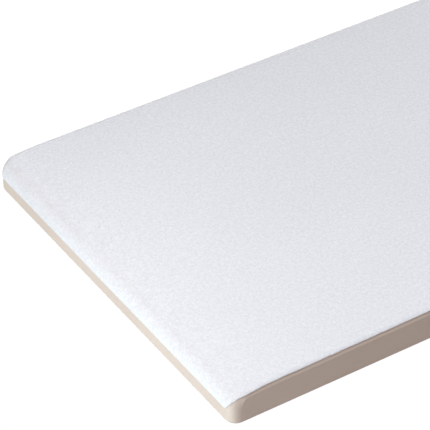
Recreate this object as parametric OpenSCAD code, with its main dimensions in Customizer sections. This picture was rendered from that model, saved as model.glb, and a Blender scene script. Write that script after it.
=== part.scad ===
// Pool diving board: a laminated wood core wrapped in glass fibre, closed in a moulded
// shell and topped with a sanded tread.
// Origin: midway between the two tail bolt holes, on the underside that sits on the stand.
// +X runs to the tip, +Y is the left side seen from the tail, +Z is up.

/* [Board] */
// Length from the tail end to the tip
board_l = 2438; // [1830:1:3050]
// Width over the shell
board_w = 457.2; // [380:0.1:560]
// Thickness over the stand, tread included
root_t = 51; // [47:0.5:60]
// Thickness at the tip, tread included
tip_t = 38.2; // [35:0.1:46]
// From the bolt holes to where the underside starts to rise
level_l = 870; // [600:1:1200]
// Radius of the corners seen from above
corner_r = 14; // [11:0.5:30]
// Radius of the shell along its top edges
edge_r = 6; // [5:0.5:9]

/* [Nose roll] */
// Outer radius of the roll at the tip
nose_r = 18.2; // [14:0.1:24]
// Outer radius of the long droop that leads into the roll
droop_r = 370; // [250:5:600]
// Angle that the droop turns through
droop_deg = 6.6; // [3:0.1:8]

/* [Layers] */
// Thickness of the sanded tread
tread_t = 1.2; // [0.8:0.1:2]
// How far round the shell's top edge the tread wraps, in degrees from the top
wrap_deg = 45; // [30:1:60]
// Wall of the moulded shell
shell_t = 3; // [2:0.1:4]
// Thickness of the closing panel underneath
panel_t = 2; // [1.5:0.1:3]
// Thickness of the glass-fibre laminate, on each face and side of the core
glass_t = 2.5; // [1.5:0.1:3.5]

/* [Core] */
// Number of long strips glued side by side
strip_n = 12; // [8:1:16]
// Length of the cross block at the tail, which holds the bolt sleeves
tail_block_l = 180; // [130:1:240]
// Length of the cross block at the tip
nose_block_l = 95; // [80:1:160]

/* [Bolt holes] */
// From the bolt holes to the tail end
tail_over = 76; // [60:1:110]
// Distance between the two bolt holes
bolt_gap = 320.7; // [250:0.1:380]
// Bore of a bolt sleeve
bolt_d = 14.3; // [11:0.1:17]
// Wall of a bolt sleeve
sleeve_wall = 2.4; // [1.5:0.1:3]
// Clearance round a sleeve where it comes up through the tread
tread_gap = 1.5; // [0.5:0.1:4]

/* [Hidden] */
$fn = 64;
strips = [for (i = [1 : strip_n]) str("core_strip_", i)];

tail_x = -tail_over;
tip_x = board_l - tail_over;
half_w = board_w / 2;
rise = root_t - tip_t;             // how far the underside has come up at the tip
shell_d = tread_t;                 // depths are counted inwards from the tread's outer face
cavity_d = shell_d + shell_t;
core_d = cavity_d + glass_t;
floor_h = panel_t + glass_t;       // underside of the core, above the underside of the board
core_half = half_w - shell_t - glass_t;
lap = edge_r - (edge_r + tread_t) * sin(wrap_deg);   // the tread stops this far inside the side
strip_x0 = tail_x + tail_block_l;
strip_x1 = tip_x - nose_block_l;
sleeve_r = bolt_d / 2 + sleeve_wall;
reach = 100;                       // how far the cutting shapes run past the board
arc_n = 14;                        // steps in the roll at the tip
droop_n = 5;                       // steps in the droop and in the tail's top edge

// Centres of the two arcs of the nose
droop_x = tip_x - nose_r - (droop_r - nose_r) * sin(droop_deg);
droop_z = root_t - droop_r;
nose_x = tip_x - nose_r;
nose_z = droop_z + (droop_r - nose_r) * cos(droop_deg);

function arc(x, z, r, from, to, n) =
    [for (i = [0 : n]) let (a = from + (to - from) * i / n) [x + r * cos(a), z + r * sin(a)]];

// Height of the underside above the stand
function underside(x) = max(0, rise * (x - level_l) / (tip_x - level_l));

// Corner radius that is left at a depth
function edge_at(d) = max(0, edge_r + tread_t - d);

// Edge of core strip i, counted from the right
function strip_y(i) = core_half * (2 * i / strip_n - 1);

// Everything below the top surface at a depth, with the nose and the tail's top edge rolled over
module roll(d) {
    e = edge_at(d);
    x0 = tail_x + d - shell_d;
    rotate([90, 0, 0])
        linear_extrude(board_w + 2 * reach, center = true)
            polygon(concat(
                [[x0, -reach], [tip_x - d, -reach]],
                arc(nose_x, nose_z, nose_r - d, 0, 90 - droop_deg, arc_n),
                arc(droop_x, droop_z, droop_r - d, 90 - droop_deg, 90, droop_n),
                arc(x0 + e, root_t - d - e, e, 90, 180, droop_n)));
}

// Everything inside the long sides at a depth, with the top edges rounded
module section(d) {
    e = edge_at(d);
    y = half_w - (d - shell_d);
    z = root_t - d;
    rotate([90, 0, 90])
        linear_extrude(2 * (board_l + reach), center = true)
            union() {
                translate([-y, -reach]) square([2 * y, z - e + reach]);
                translate([e - y, -reach]) square([2 * (y - e), z + reach]);
                if (e > 0)
                    for (s = [-1, 1]) translate([s * (y - e), z - e]) circle(e);
            }
}

// An upright block with the outline x0 to x1 by y each way, and round corners
module outline(x0, x1, y, r) {
    linear_extrude(2 * (root_t + reach), center = true)
        union() {
            translate([x0 + r, -y]) square([x1 - x0 - 2 * r, 2 * y]);
            translate([x0, r - y]) square([x1 - x0, 2 * (y - r)]);
            for (x = [x0 + r, x1 - r], s = [-1, 1]) translate([x, s * (y - r)]) circle(r);
        }
}

// The board's own shape at a depth, open downwards
module body(d) {
    in = d - shell_d;
    intersection() {
        roll(d);
        section(d);
        outline(tail_x + in, tip_x - d, half_w - in, corner_r - in);
    }
}

// Everything that lies under a height above the underside
module under(h) {
    far_x = tip_x + reach;
    rotate([90, 0, 0])
        linear_extrude(board_w + 2 * reach, center = true)
            polygon([[tail_x - reach, -2 * reach], [far_x, -2 * reach],
                [far_x, underside(far_x) + h], [level_l, h], [tail_x - reach, h]]);
}

// An upright cutting block with exact sides
module slab(x0, x1, y0, y1) {
    linear_extrude(2 * (root_t + reach), center = true)
        polygon([[x0, y0], [x1, y0], [x1, y1], [x0, y1]]);
}

// The two bolt holes, cut at a radius
module bolt_holes(r) {
    for (s = [-1, 1])
        translate([0, s * bolt_gap / 2, -reach]) cylinder(r = r, h = root_t + 2 * reach);
}

// A piece of the core between two lengths and two widths
module core_piece(x0, x1, y0, y1) {
    difference() {
        intersection() {
            body(cavity_d);
            roll(core_d);
            slab(x0, x1, y0, y1);
        }
        under(floor_h);
    }
}

module tread_surface() {
    color("#f3f4f7")
    difference() {
        intersection() {
            roll(0);
            section(0);
            outline(tail_x + lap, tip_x, half_w - lap, corner_r);
            translate([tail_x - reach, -board_w, nose_z])
                cube([board_l + 2 * reach, 2 * board_w, root_t]);
        }
        body(shell_d);
        bolt_holes(sleeve_r + tread_gap);
    }
}

module outer_shell() {
    color("#d3c8b8")
    difference() {
        body(shell_d);
        body(cavity_d);
        under(0);
        bolt_holes(sleeve_r);
    }
}

module underside_panel() {
    color("#d9cfc0")
    difference() {
        intersection() {
            body(cavity_d);
            under(panel_t);
        }
        under(0);
        bolt_holes(sleeve_r);
    }
}

module top_laminate() {
    color("#dfe3cc")
    difference() {
        body(cavity_d);
        roll(core_d);
        under(floor_h);
        bolt_holes(sleeve_r);
    }
}

module bottom_laminate() {
    color("#dfe3cc")
    difference() {
        intersection() {
            body(cavity_d);
            under(floor_h);
        }
        under(panel_t);
        bolt_holes(sleeve_r);
    }
}

module left_laminate() {
    color("#dfe3cc") core_piece(tail_x, tip_x, core_half, half_w);
}

module right_laminate() {
    color("#dfe3cc") core_piece(tail_x, tip_x, -half_w, -core_half);
}

module tail_block() {
    color("#b9895a")
    difference() {
        core_piece(tail_x, strip_x0, -core_half, core_half);
        bolt_holes(sleeve_r);
    }
}

module nose_block() {
    color("#b9895a") core_piece(strip_x1, tip_x, -core_half, core_half);
}

// Long strip i of the core, counted from the right
module core_strip(i) {
    color(i % 2 == 0 ? "#dbab6d" : "#d29d5c")
    difference() {
        intersection() {
            roll(core_d);
            slab(strip_x0, strip_x1, strip_y(i - 1), strip_y(i));
        }
        under(floor_h);
    }
}

module bolt_sleeves() {
    color("silver")
    for (s = [-1, 1])
        translate([0, s * bolt_gap / 2, 0])
            difference() {
                cylinder(r = sleeve_r, h = root_t - tread_t);
                translate([0, 0, -reach]) cylinder(d = bolt_d, h = root_t + 2 * reach);
            }
}

tread_surface();
outer_shell();
underside_panel();
top_laminate();
bottom_laminate();
left_laminate();
right_laminate();
tail_block();
nose_block();
bolt_sleeves();
for (i = [1 : strip_n])
    core_strip(i);
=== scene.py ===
import math
import random
import bpy
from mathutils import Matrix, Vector


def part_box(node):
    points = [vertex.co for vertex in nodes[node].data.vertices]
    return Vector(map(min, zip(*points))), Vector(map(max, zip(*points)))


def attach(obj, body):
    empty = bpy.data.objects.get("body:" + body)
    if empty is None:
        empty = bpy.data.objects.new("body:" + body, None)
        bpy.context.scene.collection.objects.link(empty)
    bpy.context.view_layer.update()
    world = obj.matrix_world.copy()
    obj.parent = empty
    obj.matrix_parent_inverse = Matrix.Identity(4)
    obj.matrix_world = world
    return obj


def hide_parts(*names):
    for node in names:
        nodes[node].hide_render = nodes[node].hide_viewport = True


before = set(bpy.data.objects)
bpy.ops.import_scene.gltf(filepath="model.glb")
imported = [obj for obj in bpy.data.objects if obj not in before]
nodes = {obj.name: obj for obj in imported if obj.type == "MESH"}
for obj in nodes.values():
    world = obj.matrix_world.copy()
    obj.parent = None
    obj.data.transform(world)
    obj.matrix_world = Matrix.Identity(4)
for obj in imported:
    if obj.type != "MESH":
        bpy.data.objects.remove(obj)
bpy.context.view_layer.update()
print("frame loaded:", len(nodes), "CAD nodes")

mm = 0.001

treadLow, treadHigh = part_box("tread_surface")
shellLow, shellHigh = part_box("outer_shell")
panelLow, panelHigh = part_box("underside_panel")
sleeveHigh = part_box("bolt_sleeves")[1]
shellCorners = [v.co for v in nodes["outer_shell"].data.vertices]

tipX = treadHigh.x
tailX = shellLow.x
halfWidth = shellHigh.y
topZ = treadHigh.z
shellTop = shellHigh.z
noseZ = treadLow.z
treadThick = topZ - shellTop
shellTip = shellHigh.x
wallThick = panelLow.x - shellLow.x
tipUnder = min(c.z for c in shellCorners if c.x > shellTip - 0.5 * mm)
levelEnd = max(c.x for c in shellCorners if c.z < 0.01 * mm)
sleeveRadius = sleeveHigh.x
holeY = sleeveHigh.y - sleeveRadius

board = {
    "rollRadius": 17.0 * mm,      # the shell's roll at the tip
    "droopRadius": 368.8 * mm,    # the long droop before it
    "droopAngle": math.radians(6.6),
    "edgeRadius": 6.0 * mm,       # top edge of the shell
    "cornerRadius": 14.0 * mm,    # corners seen from above
    "noseCorner": 11.8 * mm,      # the same at the tip
    "noseEdge": 5.5 * mm,         # edge radius where the roll ends
    "fineStep": 4.5 * mm,         # row spacing near the tip
    "coarseStep": 10.0 * mm,      # row spacing further back
    "fineLength": 780 * mm,
    "blockHalf": 20 * mm,         # square of fine mesh around a bolt hole
    "blockCells": 12,
    "rollSteps": 22,              # rows in the roll, the droop and the tail
    "droopSteps": 14,
    "tailSteps": 8,
    "cornerSteps": 8,
}

rollX = shellTip - board["rollRadius"]
droopX = rollX - (board["droopRadius"] - board["rollRadius"]) * math.sin(board["droopAngle"])
droopZ = shellTop - board["droopRadius"]


def underside(x):
    return max(0.0, tipUnder * (x - levelEnd) / (tipX - levelEnd))


def mix(a, b, t):
    return a + (b - a) * t


def spaced(a, b, count):
    return [mix(a, b, i / count) for i in range(count + 1)]


# A row of the shell's top face is (x, z, normal, edge radius, turn round the tail's corner).
# Rows run from the foot of the tip, up over the nose and back to the tail.
def tipRows(drops):
    bottom = tipUnder + shell["bottomRound"]
    for drop in drops[::-1]:
        yield (shellTip, mix(noseZ, bottom, drop), (1.0, 0.0), board["noseCorner"], 0.0)


def noseRows():
    rollEnd = math.pi / 2 - board["droopAngle"]
    for i in range(board["rollSteps"]):
        t = i / board["rollSteps"]
        a = rollEnd * t
        r = mix(board["noseCorner"], board["noseEdge"], t ** 3)
        n = (math.cos(a), math.sin(a))
        yield (rollX + board["rollRadius"] * n[0], noseZ + board["rollRadius"] * n[1], n, r, 0.0)
    for i in range(board["droopSteps"]):
        t = i / board["droopSteps"]
        a = mix(rollEnd, math.pi / 2, t)
        n = (math.cos(a), math.sin(a))
        r = mix(board["edgeRadius"], board["noseEdge"], (1 - t) ** 2)
        yield (droopX + board["droopRadius"] * n[0], droopZ + board["droopRadius"] * n[1], n, r, 0.0)


def flatRows():
    b = board["blockHalf"]
    tailStart = tailX + board["cornerRadius"]
    fineEnd = tipX - board["fineLength"]
    xs = spaced(droopX, fineEnd, round((droopX - fineEnd) / board["fineStep"]))[:-1]
    xs += spaced(fineEnd, b, round((fineEnd - b) / board["coarseStep"]))[:-1]
    xs += spaced(b, -b, board["blockCells"])[:-1]
    xs += spaced(-b, tailStart, board["tailSteps"])
    for x in xs:
        yield (x, shellTop, (0.0, 1.0), board["edgeRadius"], 0.0)


def tailRows():
    for turn in spaced(0.0, math.pi / 2, board["cornerSteps"])[1:]:
        yield (None, shellTop, (0.0, 1.0), board["edgeRadius"], turn)


def acrossStations():
    # fractions of the row's half width, from +1 at the left to -1 at the right
    full = halfWidth - board["edgeRadius"]
    b = board["blockHalf"]
    ys = spaced(full, holeY + b, 5)[:-1]
    ys += spaced(holeY + b, holeY - b, board["blockCells"])[:-1]
    ys += spaced(holeY - b, b - holeY, 16)[:-1]
    ys += spaced(b - holeY, -b - holeY, board["blockCells"])[:-1]
    ys += spaced(-b - holeY, -full, 5)
    return [y / full for y in ys]


across = acrossStations()


def rowPlace(row):
    # x, z, normal, edge radius, half width, plan direction of the row's left end
    x, z, n, r, turn = row
    if turn:
        inner = board["cornerRadius"] - board["edgeRadius"]
        x = tailX + board["cornerRadius"] - inner * math.sin(turn)
        half = halfWidth - board["cornerRadius"] + inner * math.cos(turn)
    else:
        half = halfWidth - r
    return x, z, n, r, half, (-math.sin(turn), math.cos(turn))


class Sheet:
    # An open sheet of points with outward normals, later given a thickness
    def __init__(self):
        self.points = []
        self.normals = []
        self.faces = []

    def add(self, point, normal):
        self.points.append(Vector(point))
        self.normals.append(Vector(normal).normalized())
        return len(self.points) - 1

    def strip(self, a, b, closed=False):
        # quads between two equal lines of points
        count = len(a)
        for i in range(count if closed else count - 1):
            j = (i + 1) % count
            self.faces.append((a[i], b[i], b[j], a[j]))


def topSheet(sheet, rows, lift, holeRadius):
    # The face over the top and nose, lifted along its normal. Returns the grid and the hole rings.
    grid = []
    for row in rows:
        x, z, n, _, half, _ = rowPlace(row)
        line = []
        for f in across:
            line.append(sheet.add((x + lift * n[0], f * half, z + lift * n[1]), (n[0], 0, n[1])))
        grid.append(line)
    return grid, patchHoles(sheet, grid, shellTop + lift, holeRadius, Vector((0, 0, 1)))


def patchHoles(sheet, grid, height, holeRadius, normal):
    # Fills the grid with quads, leaving a round hole inside each block
    b = board["blockHalf"] + 0.01 * mm
    skip = set()
    for i in range(len(grid) - 1):
        for j in range(len(across) - 1):
            corners = [grid[i][j], grid[i + 1][j], grid[i + 1][j + 1], grid[i][j + 1]]
            centre = sum((sheet.points[c] for c in corners), Vector()) / 4
            if abs(centre.x) < b and abs(abs(centre.y) - holeY) < b:
                skip.add((i, j))
            else:
                sheet.faces.append(tuple(corners))
    holes = []
    for sign in (1, -1):
        cells = [(i, j) for i, j in skip if sign * sheet.points[grid[i][j]].y > 0]
        i0, i1 = min(c[0] for c in cells), max(c[0] for c in cells) + 1
        j0, j1 = min(c[1] for c in cells), max(c[1] for c in cells) + 1
        ring = [grid[i0][j] for j in range(j0, j1)]
        ring += [grid[i][j1] for i in range(i0, i1)]
        ring += [grid[i1][j] for j in range(j1, j0, -1)]
        ring += [grid[i][j0] for i in range(i1, i0, -1)]
        last = ring
        centre = Vector((0, sign * holeY, height))
        for k in (0.3, 0.6, 0.85, 1.0):
            new = []
            for p in ring:
                out = sheet.points[p] - centre
                target = out.normalized() * holeRadius
                new.append(sheet.add(centre + out.lerp(target, k), normal))
            sheet.strip(last, new, closed=True)
            last = new
        holes.append(last)
    return holes


def dropUnused(sheet, loops):
    # Forget the points inside the blocks around the holes
    used = sorted({p for face in sheet.faces for p in face})
    number = {p: i for i, p in enumerate(used)}
    sheet.points = [sheet.points[p] for p in used]
    sheet.normals = [sheet.normals[p] for p in used]
    sheet.faces = [tuple(number[p] for p in face) for face in sheet.faces]
    return [[number[p] for p in loop] for loop in loops]


def edgeStations(rows, grid):
    # Stations round the edge: left side from the tip, across the tail, right side back to the tip.
    # Each is (top point, centre of the edge radius, outward direction, normal, radius).
    left, tail, right = [], [], []
    for i, row in enumerate(rows):
        x, z, n, r, half, side = rowPlace(row)
        normal = Vector((n[0], 0, n[1]))
        centre = Vector((x, half, z)) - normal * r
        out = Vector((side[0], side[1], 0))
        left.append((grid[i][0], centre, out, normal, r))
        mirrored = Vector((centre.x, -centre.y, centre.z))
        right.append((grid[i][-1], mirrored, Vector((out.x, -out.y, 0)), normal, r))
    x, z, _, r, half, _ = rowPlace(rows[-1])
    for j in range(1, len(across) - 1):
        centre = Vector((x, across[j] * half, z - r))
        tail.append((grid[-1][j], centre, Vector((-1, 0, 0)), Vector((0, 0, 1)), r))
    return left + tail + right[::-1]


def edgeStrip(sheet, stations, lift, angles, flats=None):
    # The rounded edge, from the top face down to the angle given for each station.
    # A station's flat says how much of the part under the tread is a plain bevel.
    lines = [[s[0] for s in stations]]
    steps = len(angles[0])
    bevel = tread["wrapAngle"] / 2
    for k in range(steps):
        line = []
        for i, ((_, centre, out, normal, r), fan) in enumerate(zip(stations, angles)):
            a = fan[k]
            d = out * math.cos(a) + normal * math.sin(a)
            inset = 0.0
            if flats and a < 2 * bevel:
                inset = r * flats[i] * (1 - math.cos(bevel) / math.cos(a - bevel))
            line.append(sheet.add(centre + d * (r + lift - inset), d))
            sheet.normals[-1] = d * (1 - inset / wallThick)   # keeps the inner face in its place
        sheet.strip(line, lines[-1])
        lines.append(line)
    return lines


def thicken(sheet, thickness, rims):
    # Adds the inner face and closes each rim. A rim is (loop, rings), each ring a list of points.
    count = len(sheet.points)
    faces = list(sheet.faces)
    points = list(sheet.points)
    points += [p - n * thickness for p, n in zip(sheet.points, sheet.normals)]
    faces += [tuple(count + p for p in reversed(face)) for face in sheet.faces]
    for loop, rings in rims:
        last = list(loop)
        for ring in rings:
            new = list(range(len(points), len(points) + len(ring)))
            points += ring
            faces += [(last[i], new[i], new[(i + 1) % len(new)], last[(i + 1) % len(new)])
                      for i in range(len(new))]
            last = new
        inner = [count + p for p in loop]
        faces += [(last[i], inner[i], inner[(i + 1) % len(inner)], last[(i + 1) % len(inner)])
                  for i in range(len(inner))]
    return points, faces


def makePiece(name, points, faces, material, slotName, *replaced):
    mesh = bpy.data.meshes.new(name)
    mesh.from_pydata([tuple(p) for p in points], [], faces)
    mesh.validate()
    mesh.update()
    piece = bpy.data.objects.new(name, mesh)
    bpy.context.scene.collection.objects.link(piece)
    # The CAD nodes load selected. They are let go first, so that the edit leaves them as they are.
    for other in bpy.context.selected_objects:
        other.select_set(False)
    bpy.context.view_layer.objects.active = piece
    piece.select_set(True)
    bpy.ops.object.mode_set(mode="EDIT")
    bpy.ops.mesh.select_all(action="SELECT")
    bpy.ops.mesh.normals_make_consistent(inside=False)
    bpy.ops.object.mode_set(mode="OBJECT")
    bpy.ops.object.shade_smooth_by_angle(angle=math.radians(35))
    piece.select_set(False)
    mesh.materials.append(material)
    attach(piece, "root")
    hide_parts(*replaced)
    print("made", name, len(points), "points")
    return piece


def put(tree, kind, **values):
    node = tree.nodes.new(kind)
    for key, value in values.items():
        setattr(node, key, value)
    return node


def fill(node, **values):
    for key, value in values.items():
        node.inputs[key.replace("_", " ")].default_value = value
    return node


def newGroup(name, inputs, outputs):
    group = bpy.data.node_groups.new(name, "ShaderNodeTree")
    for label, kind, value in inputs:
        socket = group.interface.new_socket(name=label, in_out="INPUT", socket_type=kind)
        if value is not None:
            socket.default_value = value
    for label, kind in outputs:
        group.interface.new_socket(name=label, in_out="OUTPUT", socket_type=kind)
    entry = group.nodes.new("NodeGroupInput")
    leave = group.nodes.new("NodeGroupOutput")
    return group, entry, leave


def useGroup(tree, group, **values):
    node = tree.nodes.new("ShaderNodeGroup")
    node.node_tree = group
    return fill(node, **values)


floatKind = "NodeSocketFloat"
colourKind = "NodeSocketColor"
vectorKind = "NodeSocketVector"


def noiseNode(tree, vector, scale, detail=3.0, rough=0.55):
    node = fill(put(tree, "ShaderNodeTexNoise"), Scale=scale, Detail=detail, Roughness=rough)
    tree.links.new(vector, node.inputs["Vector"])
    return node


def mathNode(tree, operation, a, b=None):
    node = put(tree, "ShaderNodeMath", operation=operation)
    for socket, value in zip(node.inputs, (a, b)):
        if value is None:
            continue
        if isinstance(value, (int, float)):
            socket.default_value = value
        else:
            tree.links.new(value, socket)
    return node.outputs[0]


def mixColour(tree, factor, a, b):
    node = put(tree, "ShaderNodeMix", data_type="RGBA")
    for index, value in ((0, factor), (6, a), (7, b)):
        if isinstance(value, (int, float)):
            node.inputs[index].default_value = value
        elif isinstance(value, tuple):
            node.inputs[index].default_value = value + (1.0,)
        else:
            tree.links.new(value, node.inputs[index])
    return node.outputs[2]


def spread(tree, value, low, high, start=0.0, end=1.0):
    node = fill(put(tree, "ShaderNodeMapRange"), **{"From_Min": start, "From_Max": end,
                                                    "To_Min": low, "To_Max": high})
    tree.links.new(value, node.inputs["Value"])
    return node.outputs["Result"]


# Mottle: slow blotches and fine specks that move a colour a little
def buildMottle():
    group, entry, leave = newGroup(
        "mottle",
        [("Vector", vectorKind, None), ("Blotch Scale", floatKind, 6.0),
         ("Speck Scale", floatKind, 300.0), ("Light", colourKind, None), ("Dark", colourKind, None)],
        [("Color", colourKind), ("Blotch", floatKind), ("Speck", floatKind)])
    links = group.links
    blotch = fill(put(group, "ShaderNodeTexNoise"), Detail=4.0, Roughness=0.6)
    speck = fill(put(group, "ShaderNodeTexNoise"), Detail=2.0, Roughness=0.6)
    links.new(entry.outputs["Vector"], blotch.inputs["Vector"])
    links.new(entry.outputs["Vector"], speck.inputs["Vector"])
    links.new(entry.outputs["Blotch Scale"], blotch.inputs["Scale"])
    links.new(entry.outputs["Speck Scale"], speck.inputs["Scale"])
    both = mathNode(group, "ADD", mathNode(group, "MULTIPLY", blotch.outputs["Fac"], 0.6),
                    mathNode(group, "MULTIPLY", speck.outputs["Fac"], 0.4))
    factor = spread(group, both, 0.0, 1.0, 0.3, 0.7)
    colour = mixColour(group, factor, entry.outputs["Dark"], entry.outputs["Light"])
    links.new(colour, leave.inputs["Color"])
    links.new(blotch.outputs["Fac"], leave.inputs["Blotch"])
    links.new(speck.outputs["Fac"], leave.inputs["Speck"])
    return group


# Grit: rounded grains of a set size with finer grains between them
def buildGrit():
    group, entry, leave = newGroup(
        "grit",
        [("Vector", vectorKind, None), ("Grain Scale", floatKind, 500.0)],
        [("Height", floatKind), ("Pit Shade", floatKind)])
    links = group.links
    cells = put(group, "ShaderNodeTexVoronoi", feature="SMOOTH_F1")
    cells.inputs["Smoothness"].default_value = 0.6
    links.new(entry.outputs["Vector"], cells.inputs["Vector"])
    links.new(entry.outputs["Grain Scale"], cells.inputs["Scale"])
    fine = fill(put(group, "ShaderNodeTexNoise"), Detail=3.0, Roughness=0.65)
    links.new(entry.outputs["Vector"], fine.inputs["Vector"])
    links.new(mathNode(group, "MULTIPLY", entry.outputs["Grain Scale"], 0.55), fine.inputs["Scale"])
    grain = mathNode(group, "SUBTRACT", 1.0, cells.outputs["Distance"])
    height = mathNode(group, "ADD", mathNode(group, "MULTIPLY", grain, 0.5),
                      mathNode(group, "MULTIPLY", fine.outputs["Fac"], 0.9))
    links.new(height, leave.inputs["Height"])
    # the low spots between the grains, as a mask for painted shade in the pits
    links.new(spread(group, height, 1.0, 0.0, 0.55, 0.95), leave.inputs["Pit Shade"])
    return group


# Cloth: over and under weave of glass rovings
def buildCloth():
    group, entry, leave = newGroup(
        "cloth",
        [("Vector", vectorKind, None), ("Thread Scale", floatKind, 400.0)],
        [("Height", floatKind), ("Threads", floatKind)])
    links = group.links
    waves = []
    for direction in ("X", "Y"):
        wave = put(group, "ShaderNodeTexWave", wave_type="BANDS", bands_direction=direction)
        fill(wave, Distortion=0.6, Detail=1.0)
        wave.inputs["Detail Scale"].default_value = 1.5
        links.new(entry.outputs["Vector"], wave.inputs["Vector"])
        links.new(entry.outputs["Thread Scale"], wave.inputs["Scale"])
        waves.append(wave.outputs["Fac"])
    weave = mathNode(group, "MAXIMUM", waves[0], waves[1])
    crossing = mathNode(group, "MULTIPLY", waves[0], waves[1])
    links.new(mathNode(group, "SUBTRACT", weave, mathNode(group, "MULTIPLY", crossing, 0.4)),
              leave.inputs["Height"])
    links.new(crossing, leave.inputs["Threads"])
    return group


# Timber: growth lines, fibre and pores along the X direction
def buildTimber():
    group, entry, leave = newGroup(
        "timber",
        [("Vector", vectorKind, None), ("Ring Scale", floatKind, 60.0), ("Shift", floatKind, 0.0),
         ("Early Wood", colourKind, None), ("Late Wood", colourKind, None)],
        [("Color", colourKind), ("Height", floatKind), ("Rings", floatKind)])
    links = group.links
    stretch = put(group, "ShaderNodeMapping")
    stretch.inputs["Scale"].default_value = (0.045, 1.0, 1.0)
    offset = put(group, "ShaderNodeCombineXYZ")
    for axis in "XYZ":
        links.new(entry.outputs["Shift"], offset.inputs[axis])
    links.new(offset.outputs[0], stretch.inputs["Location"])
    links.new(entry.outputs["Vector"], stretch.inputs["Vector"])
    rings = put(group, "ShaderNodeTexWave", wave_type="BANDS", bands_direction="Y",
                wave_profile="SAW")
    fill(rings, Distortion=5.0, Detail=2.5)
    rings.inputs["Detail Scale"].default_value = 1.2
    links.new(stretch.outputs[0], rings.inputs["Vector"])
    links.new(entry.outputs["Ring Scale"], rings.inputs["Scale"])
    fibre = fill(put(group, "ShaderNodeTexNoise"), Scale=900.0, Detail=3.0)
    links.new(stretch.outputs[0], fibre.inputs["Vector"])
    tone = mathNode(group, "ADD", mathNode(group, "MULTIPLY", rings.outputs["Fac"], 0.7),
                    mathNode(group, "MULTIPLY", fibre.outputs["Fac"], 0.45))
    links.new(mixColour(group, tone, entry.outputs["Early Wood"], entry.outputs["Late Wood"]),
              leave.inputs["Color"])
    links.new(tone, leave.inputs["Height"])
    links.new(rings.outputs["Fac"], leave.inputs["Rings"])
    return group


mottle = buildMottle()
grit = buildGrit()
cloth = buildCloth()
timber = buildTimber()


def newMaterial(name):
    material = bpy.data.materials.new(name)
    material.use_nodes = True
    tree = material.node_tree
    tree.nodes.clear()
    output = tree.nodes.new("ShaderNodeOutputMaterial")
    shader = tree.nodes.new("ShaderNodeBsdfPrincipled")
    tree.links.new(shader.outputs[0], output.inputs["Surface"])
    place = tree.nodes.new("ShaderNodeTexCoord").outputs["Object"]
    return material, tree, shader, place


def toneFrom(tree, place, finish):
    # the finish's two colours, mottled together
    tone = useGroup(tree, mottle, Blotch_Scale=finish["blotch"], Speck_Scale=finish["speck"],
                    Light=finish["light"] + (1,), Dark=finish["dark"] + (1,))
    tree.links.new(place, tone.inputs["Vector"])
    return tone


def groupAt(tree, place, group, **values):
    node = useGroup(tree, group, **values)
    tree.links.new(place, node.inputs["Vector"])
    return node


def setRough(tree, shader, value, rough, start, end):
    tree.links.new(spread(tree, value, rough[0], rough[1], start, end), shader.inputs["Roughness"])


def addBump(tree, shader, height, distance, strength):
    bump = fill(put(tree, "ShaderNodeBump"), Strength=strength, Distance=distance)
    tree.links.new(height, bump.inputs["Height"])
    tree.links.new(bump.outputs[0], shader.inputs["Normal"])
    return bump


tread = {
    "light": (0.905, 0.925, 0.950),
    "dark": (0.850, 0.873, 0.903),
    # painted shade in the grit's pits: its colour and how much of it
    "pitShade": (0.60, 0.62, 0.655),
    "pitShadeAmount": 0.36,
    "grainScale": 500.0,          # grains per metre
    "blotch": 5.0,                # colour drift and specks, per metre
    "speck": 260.0,
    "rough": (0.68, 0.9),
    "specular": 0.3,
    "bumpHeight": 0.6 * mm,
    "bumpStrength": 0.9,
    "wrapSteps": 7,
    "wrapPower": 2.6,             # how fast the wrap changes behind the nose
    "lip": ((0.08, 0.20), (0.30, 0.36), (0.62, 0.40)),    # share of the depth, millimetres out
    "holeLip": ((0.10, 0.18), (0.32, 0.30)),
    "wrapAngle": math.radians(45),    # where the tread stops on the long edges, from the side
    "cornerWrap": math.radians(86),   # and at the foot of the nose
    "wrapRows": 29,               # rows over which one becomes the other
    "ragged": 0.28 * mm,          # how far the trimmed edge wanders
    "holeGap": 1.5 * mm,
    "seed": 11,
}

def treadMaterial():
    material, tree, shader, place = newMaterial("sandedTread")
    tone = toneFrom(tree, place, tread)
    grains = groupAt(tree, place, grit, Grain_Scale=tread["grainScale"])
    # painted shade: the tread colour darkens towards grey where the grit is low
    colour = mixColour(tree, mathNode(tree, "MULTIPLY", grains.outputs["Pit Shade"], tread["pitShadeAmount"]),
                       tone.outputs["Color"], tread["pitShade"])
    tree.links.new(colour, shader.inputs["Base Color"])
    setRough(tree, shader, grains.outputs["Height"], tread["rough"], 0.5, 1.1)
    shader.inputs["Specular IOR Level"].default_value = tread["specular"]
    addBump(tree, shader, grains.outputs["Height"], tread["bumpHeight"], tread["bumpStrength"])
    return material


def smoothNoise(values, passes):
    for turn in range(passes):
        values = [(values[i - 1] + values[i] * 2 + values[(i + 1) % len(values)]) / 4
                  for i in range(len(values))]
    return values


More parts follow.
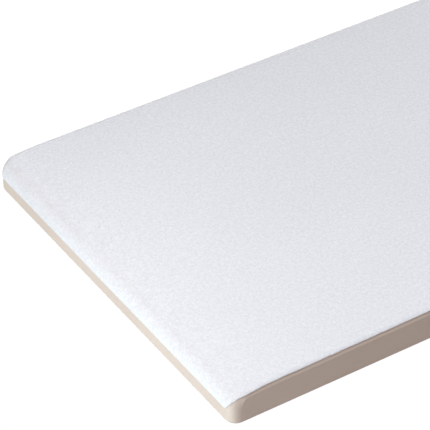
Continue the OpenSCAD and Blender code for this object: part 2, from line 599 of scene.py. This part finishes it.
def makeTread():
    sheet = Sheet()
    rows = list(noseRows()) + list(flatRows()) + list(tailRows())
    grid, holes = topSheet(sheet, rows, treadThick, sleeveRadius + tread["holeGap"])
    stations = edgeStations(rows, grid)
    draw = random.Random(tread["seed"])
    jitter = smoothNoise([draw.uniform(-1, 1) for s in stations], 1)
    angles = []
    noseCount = len(list(noseRows()))
    for k, (station, wander) in enumerate(zip(stations, jitter)):
        r = station[4]
        row = min(k, len(stations) - 1 - k)
        stop = tread["wrapAngle"]
        if row < noseCount:
            ramp = max(0.0, 1 - row / tread["wrapRows"])
            stop = mix(stop, tread["cornerWrap"], ramp ** tread["wrapPower"])
        stop += wander * tread["ragged"] / (r + treadThick)
        angles.append(spaced(math.pi / 2, stop, tread["wrapSteps"])[1:])
    lines = edgeStrip(sheet, stations, treadThick, angles)
    nose = grid[0][1:-1]
    # the loop round the whole edge: left, tail and right, then the foot of the nose
    tipLeft = [line[0] for line in lines[:-1]]
    tipRight = [line[-1] for line in lines[:-1]]
    loop = lines[-1] + tipRight[::-1] + nose[::-1] + tipLeft
    loops = dropUnused(sheet, [loop] + holes)
    loop, holes = loops[0], loops[1:]
    rims = [(loop, lipRings(sheet, loop, len(stations) // 4, treadThick))]
    for hole in holes:
        rims.append((hole, holeRings(sheet, hole, treadThick)))
    points, faces = thicken(sheet, treadThick, rims)
    makePiece("treadSkin", points, faces, treadMaterial(), "tread", "tread_surface")


def lipRings(sheet, loop, middle, thickness):
    # A rounded lip: outwards over the rim, then in to the shell. Middle is a point of a long edge.
    count = len(loop)
    rings = []
    outward = []
    for i in range(count):
        p = sheet.points[loop[i]]
        ahead = sheet.points[loop[(i + 1) % count]] - p
        behind = p - sheet.points[loop[i - 1]]
        along = (ahead.normalized() + behind.normalized()).normalized()
        n = sheet.normals[loop[i]]
        outward.append(along.cross(n).normalized())
    inside = sum((sheet.points[p] for p in loop), Vector()) / count
    if outward[middle].dot(sheet.points[loop[middle]] - inside) < 0:
        outward = [-o for o in outward]
    for depth, reach in tread["lip"]:
        rings.append([sheet.points[p] - sheet.normals[p] * thickness * depth + o * reach * mm
                      for p, o in zip(loop, outward)])
    return rings


def holeRings(sheet, hole, thickness):
    centre = sum((sheet.points[p] for p in hole), Vector()) / len(hole)
    rings = []
    for depth, reach in tread["holeLip"]:
        ring = []
        for p in hole:
            inwards = (centre - sheet.points[p]).normalized()
            ring.append(sheet.points[p] - sheet.normals[p] * thickness * depth
                        + inwards * reach * mm)
        rings.append(ring)
    return rings


shell = {
    "bottomRound": 2.2 * mm,
    "light": (0.735, 0.635, 0.555),
    "dark": (0.68, 0.58, 0.50),
    "blotch": 9.0,
    "speck": 420.0,
    "rough": (0.42, 0.6),
    "specular": 0.35,
    "rippleScale": 330.0,
    "rippleHeight": 0.1 * mm,
    "topSteps": 5,                # edge steps under the tread, and in the bevel below it
    "bevelSteps": 4,
    "bevelPower": 1.6,            # how fast the bevel fades towards the nose
    "roundSteps": 4,
    "drops": (0.01, 0.05, 0.2, 0.36, 0.52, 0.68, 0.84, 1.0),   # rows down the side wall
}


def shellMaterial():
    material, tree, shader, place = newMaterial("mouldedShell")
    tone = toneFrom(tree, place, shell)
    tree.links.new(tone.outputs["Color"], shader.inputs["Base Color"])
    ripple = noiseNode(tree, place, shell["rippleScale"], 2.0)
    setRough(tree, shader, tone.outputs["Blotch"], shell["rough"], 0.3, 0.7)
    shader.inputs["Specular IOR Level"].default_value = shell["specular"]
    addBump(tree, shader, ripple.outputs["Fac"], shell["rippleHeight"], 0.5)
    return material


def makeShell():
    sheet = Sheet()
    levels = len(shell["drops"])
    tip = list(tipRows(shell["drops"]))
    rows = tip + list(noseRows()) + list(flatRows()) + list(tailRows())
    grid, holes = topSheet(sheet, rows, 0.0, sleeveRadius)
    stations = edgeStations(rows, grid)
    fan = spaced(math.pi / 2, tread["wrapAngle"], shell["topSteps"])[1:]
    fan += spaced(tread["wrapAngle"], 0.0, shell["bevelSteps"])[1:]
    angles = [fan for s in stations]
    flats = []
    for k in range(len(stations)):
        row = max(0, min(k, len(stations) - 1 - k) - levels)
        flats.append(1 - max(0.0, 1 - row / tread["wrapRows"]) ** shell["bevelPower"])
    lines = edgeStrip(sheet, stations, 0.0, angles, flats)
    last = lines[-1]
    # The side wall hangs from the edge line behind the tip's corners
    columns = last[levels:len(last) - levels]
    sideNormals = [stations[k][2] for k in range(levels, len(last) - levels)]
    wall = [columns]
    for m, drop in enumerate(shell["drops"], 1):
        line = []
        for c, out in zip(columns, sideNormals):
            p = sheet.points[c]
            foot = underside(p.x) + shell["bottomRound"]
            line.append(sheet.add((p.x, p.y, mix(p.z, foot, drop)), out))
        # the two ends are the corner strips' own points
        line[0] = last[levels - m]
        line[-1] = last[len(last) - 1 - (levels - m)]
        sheet.strip(line, wall[-1])
        wall.append(line)
    cornerLeft = [line[0] for line in lines]
    cornerRight = [line[-1] for line in lines]
    loop = grid[0][1:-1][::-1] + cornerLeft[:-1] + wall[-1] + cornerRight[:-1][::-1]
    loops = dropUnused(sheet, [loop] + holes)
    loop, holes = loops[0], loops[1:]
    rings = []
    for a in spaced(0.0, math.pi / 2, shell["roundSteps"])[1:]:
        ring = []
        for p in loop:
            n = sheet.normals[p]
            drop = shell["bottomRound"] * math.sin(a)
            pull = shell["bottomRound"] * (1 - math.cos(a))
            ring.append(sheet.points[p] - n * pull - Vector((0, 0, drop)))
        rings.append(ring)
    rings.append([sheet.points[p] - sheet.normals[p] * wallThick
                  - Vector((0, 0, shell["bottomRound"])) for p in loop])
    rims = [(loop, rings)] + [(hole, []) for hole in holes]
    points, faces = thicken(sheet, wallThick, rims)
    makePiece("shellSkin", points, faces, shellMaterial(), "shell", "outer_shell")


makeTread()
makeShell()

panel = {
    "seam": 0.5 * mm,             # open line between the panel and the shell
    "edgeRound": 0.7 * mm,
    "thickness": 2.0 * mm,
    "holeGap": 0.4 * mm,
    "light": (0.72, 0.655, 0.58),
    "dark": (0.64, 0.57, 0.49),
    "blotch": 7.0,
    "speck": 240.0,
    "rough": (0.38, 0.62),
    "tipSteps": 40,               # rows in the taper and in the flat behind it
    "flatSteps": 30,
    "tailSteps": 5,
    "matScale": 95.0,             # print-through of the glass, threads per metre
    "bumpHeight": 0.25 * mm,
}


def panelMaterial():
    material, tree, shader, place = newMaterial("mouldedUnderside")
    tone = toneFrom(tree, place, panel)
    weave = groupAt(tree, place, cloth, Thread_Scale=panel["matScale"])
    shade = mixColour(tree, mathNode(tree, "MULTIPLY", weave.outputs["Threads"], 0.25),
                      tone.outputs["Color"], panel["dark"])
    tree.links.new(shade, shader.inputs["Base Color"])
    setRough(tree, shader, tone.outputs["Speck"], panel["rough"], 0.3, 0.7)
    height = mathNode(tree, "ADD", mathNode(tree, "MULTIPLY", weave.outputs["Height"], 0.5),
                      tone.outputs["Speck"])
    addBump(tree, shader, height, panel["bumpHeight"], 0.4)
    return material


def panelRows():
    # (x, half width) from the tip to the tail, with round corners
    r = board["cornerRadius"] - wallThick
    seam = panel["seam"]
    front = panelHigh.x - seam
    back = panelLow.x + seam
    half = panelHigh.y - seam
    turns = [math.radians(t) for t in range(0, 90, 10)]
    rows = [(front - r + r * math.cos(t), half - r + r * math.sin(t)) for t in turns]
    b = board["blockHalf"]
    xs = spaced(front - r, levelEnd, panel["tipSteps"])[:-1]
    xs += spaced(levelEnd, b, panel["flatSteps"])[:-1]
    xs += spaced(b, -b, board["blockCells"])[:-1]
    xs += spaced(-b, back + r, panel["tailSteps"])
    rows += [(x, half) for x in xs]
    rows += [(back + r - r * math.cos(t), half - r + r * math.sin(t)) for t in turns[::-1]]
    return rows, half


def makePanel():
    sheet = Sheet()
    rows, half = panelRows()
    full = halfWidth - board["edgeRadius"]
    down = Vector((0, 0, -1))
    grid = []
    for x, rowHalf in rows:
        line = []
        for f in across:
            y = f * full
            if abs(f) == 1:
                y = math.copysign(rowHalf, f)
            elif rowHalf < half or abs(y) > rowHalf:
                y = f * rowHalf
            line.append(sheet.add((x, y, underside(x)), down))
        grid.append(line)
    holes = patchHoles(sheet, grid, 0.0, sleeveRadius + panel["holeGap"], down)
    loop = [row[0] for row in grid] + grid[-1][1:-1] + [row[-1] for row in grid[::-1]]
    loop += grid[0][1:-1][::-1]
    loops = dropUnused(sheet, [loop] + holes)
    loop, holes = loops[0], loops[1:]
    rims = [(loop, edgeRings(sheet, loop))] + [(hole, edgeRings(sheet, hole)) for hole in holes]
    points, faces = thicken(sheet, panel["thickness"], rims)
    makePiece("undersideSkin", points, faces, panelMaterial(), "underside", "underside_panel")


def edgeRings(sheet, loop):
    # a small round between the face and the seam, spreading outwards from the loop
    count = len(loop)
    outward = []
    for i in range(count):
        along = sheet.points[loop[(i + 1) % count]] - sheet.points[loop[i - 1]]
        outward.append(along.cross(Vector((0, 0, 1))).normalized())
    used = set(loop)
    near = min((p for p in range(len(sheet.points)) if p not in used),
               key=lambda p: (sheet.points[p] - sheet.points[loop[0]]).length)
    away = sheet.points[loop[0]] - sheet.points[near]
    if outward[0].dot(away) < 0:
        outward = [-o for o in outward]
    rings = []
    r = panel["edgeRound"]
    for turn in (30, 60, 90):
        t = math.radians(turn)
        rings.append([sheet.points[p] + o * (r * math.sin(t) * 0.5)
                      + Vector((0, 0, r * (1 - math.cos(t)))) for p, o in zip(loop, outward)])
    return rings


makePanel()

core = {
    "fir": {"early": (0.72, 0.50, 0.28), "late": (0.50, 0.29, 0.13), "rings": 55.0},
    "ash": {"early": (0.50, 0.33, 0.18), "late": (0.33, 0.19, 0.09), "rings": 80.0},
    "rough": (0.6, 0.78),
    "bumpHeight": 0.3 * mm,
    "seed": 5,
}
glassCloth = {
    "light": (0.66, 0.68, 0.54),
    "dark": (0.50, 0.53, 0.38),
    "threads": 210.0,
    "thickness": 2.5 * mm,
    "blotch": 12.0,
    "speck": 350.0,
    "rough": (0.2, 0.4),
    "bumpHeight": 0.2 * mm,
    "wrapAngle": math.radians(20),
    "wrapSteps": 5,
    "footHeight": 4.5 * mm,       # above the underside at the tip
    "tipSteps": 4,
}
steel = {
    "light": (0.64, 0.64, 0.65),
    "dark": (0.47, 0.47, 0.48),
    "blotch": 60.0,
    "speck": 900.0,
    "rough": (0.25, 0.45),
    "toolMarks": 500.0,           # per metre
    "bumpHeight": 0.03 * mm,
}


def timberMaterial(name, wood, shift):
    material, tree, shader, place = newMaterial(name)
    grain = groupAt(tree, place, timber, Ring_Scale=wood["rings"], Shift=shift,
                    Early_Wood=wood["early"] + (1,), Late_Wood=wood["late"] + (1,))
    tree.links.new(grain.outputs["Color"], shader.inputs["Base Color"])
    setRough(tree, shader, grain.outputs["Rings"], core["rough"], 0.0, 1.0)
    addBump(tree, shader, grain.outputs["Height"], core["bumpHeight"], 0.4)
    return material


def clothMaterial():
    material, tree, shader, place = newMaterial("glassLaminate")
    tone = toneFrom(tree, place, glassCloth)
    weave = groupAt(tree, place, cloth, Thread_Scale=glassCloth["threads"])
    shade = mixColour(tree, mathNode(tree, "MULTIPLY", weave.outputs["Threads"], 0.5),
                      tone.outputs["Color"], glassCloth["dark"])
    tree.links.new(shade, shader.inputs["Base Color"])
    setRough(tree, shader, tone.outputs["Speck"], glassCloth["rough"], 0.3, 0.7)
    addBump(tree, shader, weave.outputs["Height"], glassCloth["bumpHeight"], 0.5)
    return material


def steelMaterial():
    material, tree, shader, place = newMaterial("turnedSteel")
    tone = toneFrom(tree, place, steel)
    tree.links.new(tone.outputs["Color"], shader.inputs["Base Color"])
    shader.inputs["Metallic"].default_value = 1.0
    lathe = put(tree, "ShaderNodeTexWave", wave_type="BANDS", bands_direction="Z")
    fill(lathe, Scale=steel["toolMarks"], Distortion=0.4)
    tree.links.new(place, lathe.inputs["Vector"])
    setRough(tree, shader, tone.outputs["Speck"], steel["rough"], 0.3, 0.7)
    addBump(tree, shader, lathe.outputs["Fac"], steel["bumpHeight"], 0.4)
    return material


def dress(node, material):
    for place in nodes[node].material_slots:
        place.material = material


def makeTopCloth():
    # The cloth follows the shell's own inner face, round the nose and its corners
    sheet = Sheet()
    start = tipUnder + glassCloth["footHeight"]
    rows = [(shellTip, z, (1.0, 0.0), board["noseCorner"], 0.0)
            for z in spaced(start, noseZ, glassCloth["tipSteps"])[:-1]]
    rows += list(noseRows()) + list(flatRows()) + list(tailRows())
    grid, holes = topSheet(sheet, rows, -wallThick, sleeveRadius)
    stations = edgeStations(rows, grid)
    fan = spaced(math.pi / 2, glassCloth["wrapAngle"], glassCloth["wrapSteps"])[1:]
    angles = [fan for s in stations]
    lines = edgeStrip(sheet, stations, -wallThick, angles)
    loop = lines[-1] + [line[-1] for line in lines[:-1]][::-1]
    loop += grid[0][1:-1][::-1] + [line[0] for line in lines[:-1]]
    loops = dropUnused(sheet, [loop] + holes)
    rims = [(ring, []) for ring in loops]
    points, faces = thicken(sheet, glassCloth["thickness"], rims)
    makePiece("topCloth", points, faces, clothFinish, "laminate", "top_laminate")


clothFinish = clothMaterial()
for node in ("bottom_laminate", "left_laminate", "right_laminate"):
    dress(node, clothFinish)
makeTopCloth()
shiftDraw = random.Random(core["seed"])
for node in ("tail_block", "nose_block"):
    dress(node, timberMaterial("ash_" + node, core["ash"], shiftDraw.uniform(0, 9)))
stripNodes = sorted(n for n in nodes if n.startswith("core_strip"))
for node in stripNodes:
    shade = shiftDraw.uniform(0.88, 1.08)
    wood = {"early": tuple(c * shade for c in core["fir"]["early"]),
            "late": tuple(c * shade for c in core["fir"]["late"]),
            "rings": core["fir"]["rings"] * shiftDraw.uniform(0.85, 1.2)}
    dress(node, timberMaterial("fir_" + node, wood, shiftDraw.uniform(0, 9)))
dress("bolt_sleeves", steelMaterial())
print("finishes on", 6 + len(stripNodes), "CAD nodes")

studio = {
    "cameraOffset": (0.9403, 1.6325, 1.6019),   # from the tip's underside on the centre line
    "azimuth": math.radians(146.708),
    "elevation": math.radians(38.403),
    "lens": 201.16,
    "floorDrop": 0.5,
    "floorTone": 0.45,
    "skyColour": (1.0, 0.729, 0.651),
    "skyStrength": 0.366,
    "floorSize": 40,              # half its side, in metres
    "floorGlow": 1.07,            # keeps the floor pale where the camera sees it
    "floorGlowShare": 0.95,
    "backgroundStrength": 1.0,
}
lamps = {
    # by is the point the offset and aim start from
    "keyLight": {"by": "tip", "offset": (-1.3, 0.65, 2.6), "aim": (-1.2, 0, 0),
                 "size": (2.4, 1.2), "power": 51.109, "colour": (0.756, 0.921, 1.0)},
    "topLight": {"by": "tip", "offset": (0.5, 0.1, 0.55), "aim": (0, 0, 0),
                 "size": (0.5, 0.5), "power": 3.187, "colour": (0.933, 0.968, 1.0)},
    "noseLight": {"by": "tip", "offset": (0.75, 0.22, -0.42), "aim": (0, 0, 0),
                  "size": (1.0, 0.25), "power": 6.821, "colour": (0.805, 0.952, 1.0)},
    "backLight": {"by": "tail", "offset": (-1.6, -1.5, 0), "aim": (0.8, 0, 0),
                  "size": (1.6, 0.6), "power": 22.0, "colour": (1.0, 0.98, 0.96)},
    # the last two fill the right side and the underside, from below the tread's level
    "rightLight": {"by": "middle", "offset": (0.2, -1.7, -0.3), "aim": (0, 0, 0),
                   "size": (2.4, 0.3), "power": 17.0, "colour": (1.0, 0.98, 0.96)},
    "underLight": {"by": "middle", "offset": (0, 0, -2.4), "aim": (0, 0, 0),
                   "size": (2.2, 0.36), "power": 60.0, "colour": (1.0, 0.98, 0.96)},
}
card = {
    # a dark card beyond the right edge, which takes a little light off that side
    "gap": 0.07,
    "foot": 0.012,                # above the shell's top
    "height": 0.09,
    "backHeight": 0.01,
    "length": 0.65,
    "overhang": 0.3,
    "tone": 0.01,
}


def makeCamera():
    data = bpy.data.cameras.new("camera")
    data.lens = studio["lens"]
    data.sensor_width = 36
    data.clip_end = 100
    camera = bpy.data.objects.new("camera", data)
    bpy.context.scene.collection.objects.link(camera)
    camera.location = Vector((tipX, 0, tipUnder)) + Vector(studio["cameraOffset"])
    camera.rotation_euler = (math.pi / 2 - studio["elevation"], 0, studio["azimuth"])
    bpy.context.scene.camera = camera


def makeLight(name, lamp, start):
    data = bpy.data.lights.new(name, "AREA")
    data.shape = "RECTANGLE"
    data.size, data.size_y = lamp["size"]
    data.energy = lamp["power"]
    data.color = lamp["colour"]
    light = bpy.data.objects.new(name, data)
    bpy.context.scene.collection.objects.link(light)
    light.location = start + Vector(lamp["offset"])
    way = start + Vector(lamp["aim"]) - light.location
    light.rotation_euler = way.to_track_quat("-Z", "Y").to_euler()
    light.visible_camera = False


def makeFloor():
    mesh = bpy.data.meshes.new("floor")
    s = studio["floorSize"]
    mesh.from_pydata([(-s, -s, 0), (s, -s, 0), (s, s, 0), (-s, s, 0)], [], [(0, 1, 2, 3)])
    floor = bpy.data.objects.new("floor", mesh)
    bpy.context.scene.collection.objects.link(floor)
    floor.location.z = -studio["floorDrop"]
    material = bpy.data.materials.new("paleFloor")
    material.use_nodes = True
    tree = material.node_tree
    tree.nodes.clear()
    output = tree.nodes.new("ShaderNodeOutputMaterial")
    matt = tree.nodes.new("ShaderNodeBsdfDiffuse")
    matt.inputs["Color"].default_value = (studio["floorTone"],) * 3 + (1,)
    glow = tree.nodes.new("ShaderNodeEmission")
    glow.inputs["Strength"].default_value = studio["floorGlow"]
    clear = tree.nodes.new("ShaderNodeBsdfTransparent")
    seen = tree.nodes.new("ShaderNodeLightPath").outputs["Is Camera Ray"]
    back = tree.nodes.new("ShaderNodeNewGeometry").outputs["Backfacing"]
    blend = tree.nodes.new("ShaderNodeMixShader")
    through = tree.nodes.new("ShaderNodeMixShader")
    tree.links.new(mathNode(tree, "MULTIPLY", seen, studio["floorGlowShare"]), blend.inputs[0])
    tree.links.new(matt.outputs[0], blend.inputs[1])
    tree.links.new(glow.outputs[0], blend.inputs[2])
    tree.links.new(back, through.inputs[0])
    tree.links.new(blend.outputs[0], through.inputs[1])
    tree.links.new(clear.outputs[0], through.inputs[2])
    tree.links.new(through.outputs[0], output.inputs["Surface"])
    mesh.materials.append(material)


def makeWorld():
    world = bpy.data.worlds.new("studio")
    bpy.context.scene.world = world
    world.use_nodes = True
    tree = world.node_tree
    tree.nodes.clear()
    output = tree.nodes.new("ShaderNodeOutputWorld")
    sky = tree.nodes.new("ShaderNodeBackground")
    sky.inputs["Color"].default_value = studio["skyColour"] + (1,)
    sky.inputs["Strength"].default_value = studio["skyStrength"]
    white = tree.nodes.new("ShaderNodeBackground")
    white.inputs["Color"].default_value = (1, 1, 1, 1)
    white.inputs["Strength"].default_value = studio["backgroundStrength"]
    seen = tree.nodes.new("ShaderNodeLightPath").outputs["Is Camera Ray"]
    blend = tree.nodes.new("ShaderNodeMixShader")
    tree.links.new(seen, blend.inputs[0])
    tree.links.new(sky.outputs[0], blend.inputs[1])
    tree.links.new(white.outputs[0], blend.inputs[2])
    tree.links.new(blend.outputs[0], output.inputs["Surface"])


def makeLights():
    starts = {
        "tip": Vector((tipX, 0, shellTop)),
        "tail": Vector((tailX, 0, shellTop)),
        "middle": Vector(((tipX + tailX) / 2, 0, shellTop)),
    }
    for name, lamp in lamps.items():
        makeLight(name, lamp, starts[lamp["by"]])


def makeFlag():
    y = -halfWidth - card["gap"]
    foot = shellTop + card["foot"]
    x0 = tipX - card["length"]
    x1 = tipX + card["overhang"]
    mesh = bpy.data.meshes.new("flag")
    mesh.from_pydata([(x0, y, foot), (x1, y, foot), (x1, y, shellTop + card["height"]),
                      (x0, y, shellTop + card["backHeight"])], [], [(0, 1, 2, 3)])
    flag = bpy.data.objects.new("flag", mesh)
    bpy.context.scene.collection.objects.link(flag)
    material = bpy.data.materials.new("blackCard")
    material.use_nodes = True
    shader = material.node_tree.nodes["Principled BSDF"]
    shader.inputs["Base Color"].default_value = (card["tone"],) * 3 + (1,)
    shader.inputs["Roughness"].default_value = 1.0
    mesh.materials.append(material)
    flag.visible_camera = False


makeCamera()
makeWorld()
makeFloor()
makeLights()
makeFlag()
bpy.context.scene.view_settings.view_transform = "Standard"
print("studio ready")
